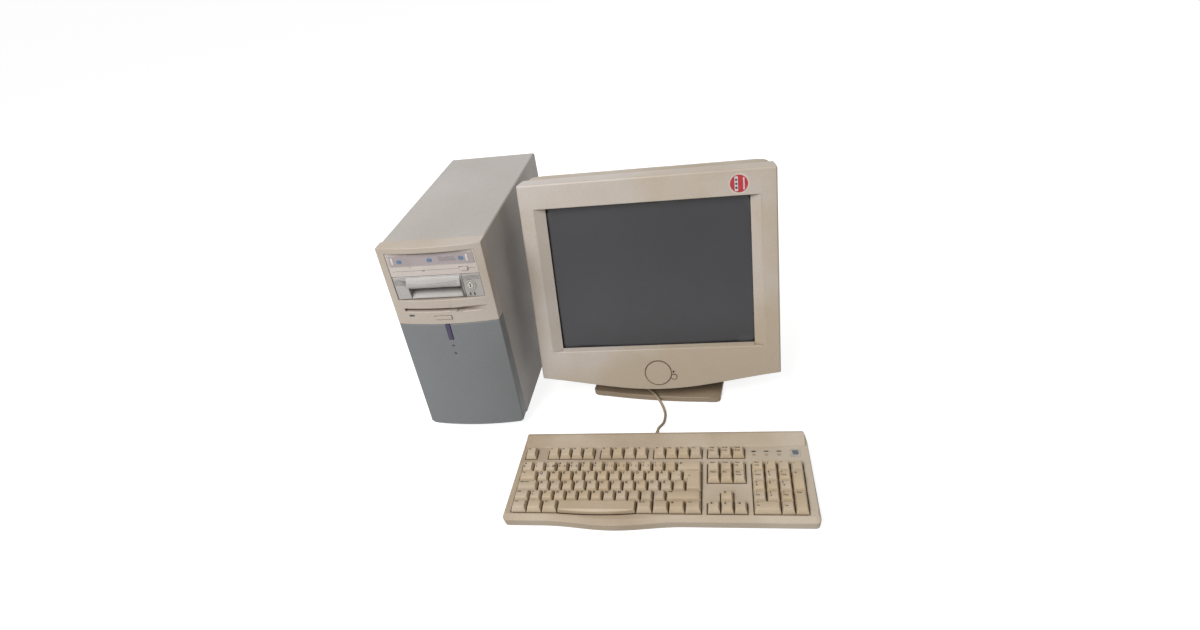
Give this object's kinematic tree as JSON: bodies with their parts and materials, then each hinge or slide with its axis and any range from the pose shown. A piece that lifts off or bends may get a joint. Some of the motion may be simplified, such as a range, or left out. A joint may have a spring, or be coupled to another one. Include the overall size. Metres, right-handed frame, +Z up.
{
  "type": "vintage desktop computer set",
  "caption": "Vintage home computer: mini tower with disc, drawer and floppy drives, tube monitor on a tilt and swivel base, and full-size keyboard with its cord.",
  "frame": {"origin": "middle of the set's floor plan, on the desk that it stands on", "axes": "+X to the user's right, +Y away from the user, +Z up"},
  "size_m": [0.6582, 0.7608, 0.404],
  "materials": {
    "cover_paint": "satin",
    "beige_plastic": "fine grain",
    "grey_plastic": "fine grain",
    "violet_plastic": "gloss",
    "lamp_dark": "clear, unlit",
    "pale_plastic": "smooth",
    "silver_plastic": "metallic paint",
    "steel_sheet": "zinc coated",
    "cast_cover": "cast",
    "black_plastic": "moulded",
    "circuit_board": "lacquered",
    "bare_aluminium": "extruded",
    "black_rubber": "matt",
    "screw_steel": "plated",
    "cream_plastic": "fine grain",
    "tube_glass": "dark faceplate",
    "copper_wire": "enamelled",
    "band_steel": "rolled",
    "key_plastic": "fine grain",
    "cord_plastic": "smooth",
    "dark_metal": "matt"
  },
  "bodies": {
    "case": {"tower_chassis": "steel_sheet", "tower_cover": "cover_paint", "front_bezel": "beige_plastic", "lower_panel": "grey_plastic", "front_leds": "lamp_dark", "cd_drive": "pale_plastic", "rack_frame": "silver_plastic", "floppy_drive": "steel_sheet", "power_supply": "steel_sheet", "motherboard": "circuit_board", "cpu_heatsink": "bare_aluminium", "expansion_card": "circuit_board", "tower_feet": "black_rubber", "tower_screws": "screw_steel", "pedestal_base": "cream_plastic", "pedestal_feet": "black_rubber", "kb_bottom_case": "cream_plastic", "kb_top_case": "cream_plastic", "kb_switch_plate": "dark_metal", "kb_controller": "circuit_board", "kb_pads": "black_rubber", "keyboard_cord": "cord_plastic", "cord_coil": "cord_plastic", "keyboard_plug": "cord_plastic", "cord_relief": "cord_plastic"},
    "power_button": {"power_button": "violet_plastic"},
    "cd_tray": {"cd_tray": "pale_plastic"},
    "cd_eject_button": {"cd_eject_button": "pale_plastic"},
    "rack_drawer": {"rack_drawer": "silver_plastic", "hard_disk": "cast_cover"},
    "rack_lock": {"rack_lock": "screw_steel"},
    "floppy_eject_button": {"floppy_eject_button": "beige_plastic"},
    "floppy_flap": {"floppy_flap": "beige_plastic"},
    "psu_fan": {"psu_fan": "black_plastic"},
    "cpu_fan": {"cpu_fan": "black_plastic"},
    "swivel": {"swivel_disc": "cream_plastic"},
    "monitor": {"monitor_bezel": "beige_plastic", "monitor_housing": "cream_plastic", "picture_tube": "tube_glass", "deflection_yoke": "copper_wire", "tube_band": "band_steel", "monitor_board": "circuit_board", "neck_board": "circuit_board", "monitor_led": "lamp_dark", "monitor_screws": "screw_steel"},
    "monitor_power_button": {"monitor_power_button": "beige_plastic"},
    "menu_dial": {"menu_dial": "beige_plastic"},
    "kb_foot_left": {"kb_foot_left": "cream_plastic"},
    "kb_foot_right": {"kb_foot_right": "cream_plastic"},
    "function_keys": {"function_keys": "key_plastic"},
    "number_keys": {"number_keys": "key_plastic"},
    "upper_letter_keys": {"upper_letter_keys": "key_plastic"},
    "home_letter_keys": {"home_letter_keys": "key_plastic"},
    "lower_letter_keys": {"lower_letter_keys": "key_plastic"},
    "modifier_keys": {"modifier_keys": "key_plastic"},
    "space_bar": {"space_bar": "key_plastic"},
    "enter_key": {"enter_key": "key_plastic"},
    "navigation_keys": {"navigation_keys": "key_plastic"},
    "arrow_keys": {"arrow_keys": "key_plastic"},
    "numpad_keys": {"numpad_keys": "key_plastic"}
  },
  "joints": [
    {"name": "power_press", "type": "slide", "parent": "case", "child": "power_button", "axis": [0, 1, 0], "range_m": [0, 0.002], "stiffness_N_per_m": 400, "springref_m": -0.002},
    {"name": "cd_tray_slide", "type": "slide", "parent": "case", "child": "cd_tray", "axis": [0, -1, 0], "range_m": [0, 0.13]},
    {"name": "cd_eject_press", "type": "slide", "parent": "case", "child": "cd_eject_button", "axis": [0, 1, 0], "range_m": [0, 0.0015], "stiffness_N_per_m": 300, "springref_m": -0.002},
    {"name": "rack_slide", "type": "slide", "parent": "case", "child": "rack_drawer", "axis": [0, -1, 0], "range_m": [0, 0.18]},
    {"name": "lock_turn", "type": "hinge", "parent": "case", "child": "rack_lock", "pos_m": [-0.18685, -0.13747, 0.293], "axis": [0, 1, 0], "range_deg": [0, 90]},
    {"name": "floppy_eject_press", "type": "slide", "parent": "case", "child": "floppy_eject_button", "axis": [0, 1, 0], "range_m": [0, 0.005], "stiffness_N_per_m": 200, "springref_m": -0.002},
    {"name": "flap_turn", "type": "hinge", "parent": "case", "child": "floppy_flap", "pos_m": [-0.2641, -0.13347, 0.2561], "axis": [1, 0, 0], "range_deg": [0, 80], "stiffness_Nm_per_rad": 0.004, "springref_deg": -28.65},
    {"name": "psu_fan_spin", "type": "hinge", "parent": "case", "child": "psu_fan", "pos_m": [-0.2681, 0.24203, 0.319], "axis": [0, 1, 0], "continuous": true},
    {"name": "cpu_fan_spin", "type": "hinge", "parent": "case", "child": "cpu_fan", "pos_m": [-0.2177, 0.13803, 0.178], "axis": [1, 0, 0], "continuous": true},
    {"name": "monitor_swivel", "type": "hinge", "parent": "case", "child": "swivel", "pos_m": [0.0886, 0.01763, 0.12], "axis": [0, 0, 1], "range_deg": [-50, 22]},
    {"name": "monitor_tilt", "type": "hinge", "parent": "swivel", "child": "monitor", "pos_m": [0.0886, 0.01763, 0.12], "axis": [1, 0, 0], "range_deg": [-3, 10]},
    {"name": "monitor_power_press", "type": "slide", "parent": "monitor", "child": "monitor_power_button", "axis": [0, 0.979, -0.2036], "range_m": [0, 0.0015], "stiffness_N_per_m": 300, "springref_m": -0.002},
    {"name": "menu_dial_turn", "type": "hinge", "parent": "monitor", "child": "menu_dial", "pos_m": [0.0886, -0.08808, 0.07], "axis": [0, 0.979, -0.2036], "continuous": true},
    {"name": "kb_foot_left_fold", "type": "hinge", "parent": "case", "child": "kb_foot_left", "pos_m": [-0.0884, -0.21037, 0.0039], "axis": [1, 0, 0], "range_deg": [0, 90]},
    {"name": "kb_foot_right_fold", "type": "hinge", "parent": "case", "child": "kb_foot_right", "pos_m": [0.2836, -0.21037, 0.0039], "axis": [1, 0, 0], "range_deg": [0, 90]},
    {"name": "function_keys_press", "type": "slide", "parent": "case", "child": "function_keys", "axis": [0, 0.0523, -0.9986], "range_m": [0, 0.0035], "stiffness_N_per_m": 300, "springref_m": -0.003},
    {"name": "number_keys_press", "type": "slide", "parent": "case", "child": "number_keys", "axis": [0, 0.0523, -0.9986], "range_m": [0, 0.0035], "stiffness_N_per_m": 300, "springref_m": -0.003},
    {"name": "upper_letters_press", "type": "slide", "parent": "case", "child": "upper_letter_keys", "axis": [0, 0.0523, -0.9986], "range_m": [0, 0.0035], "stiffness_N_per_m": 300, "springref_m": -0.003},
    {"name": "home_letters_press", "type": "slide", "parent": "case", "child": "home_letter_keys", "axis": [0, 0.0523, -0.9986], "range_m": [0, 0.0035], "stiffness_N_per_m": 300, "springref_m": -0.003},
    {"name": "lower_letters_press", "type": "slide", "parent": "case", "child": "lower_letter_keys", "axis": [0, 0.0523, -0.9986], "range_m": [0, 0.0035], "stiffness_N_per_m": 300, "springref_m": -0.003},
    {"name": "modifier_keys_press", "type": "slide", "parent": "case", "child": "modifier_keys", "axis": [0, 0.0523, -0.9986], "range_m": [0, 0.0035], "stiffness_N_per_m": 300, "springref_m": -0.003},
    {"name": "space_bar_press", "type": "slide", "parent": "case", "child": "space_bar", "axis": [0, 0.0523, -0.9986], "range_m": [0, 0.0035], "stiffness_N_per_m": 300, "springref_m": -0.003},
    {"name": "enter_key_press", "type": "slide", "parent": "case", "child": "enter_key", "axis": [0, 0.0523, -0.9986], "range_m": [0, 0.0035], "stiffness_N_per_m": 300, "springref_m": -0.003},
    {"name": "navigation_keys_press", "type": "slide", "parent": "case", "child": "navigation_keys", "axis": [0, 0.0523, -0.9986], "range_m": [0, 0.0035], "stiffness_N_per_m": 300, "springref_m": -0.003},
    {"name": "arrow_keys_press", "type": "slide", "parent": "case", "child": "arrow_keys", "axis": [0, 0.0523, -0.9986], "range_m": [0, 0.0035], "stiffness_N_per_m": 300, "springref_m": -0.003},
    {"name": "numpad_keys_press", "type": "slide", "parent": "case", "child": "numpad_keys", "axis": [0, 0.0523, -0.9986], "range_m": [0, 0.0035], "stiffness_N_per_m": 300, "springref_m": -0.003}
  ]
}
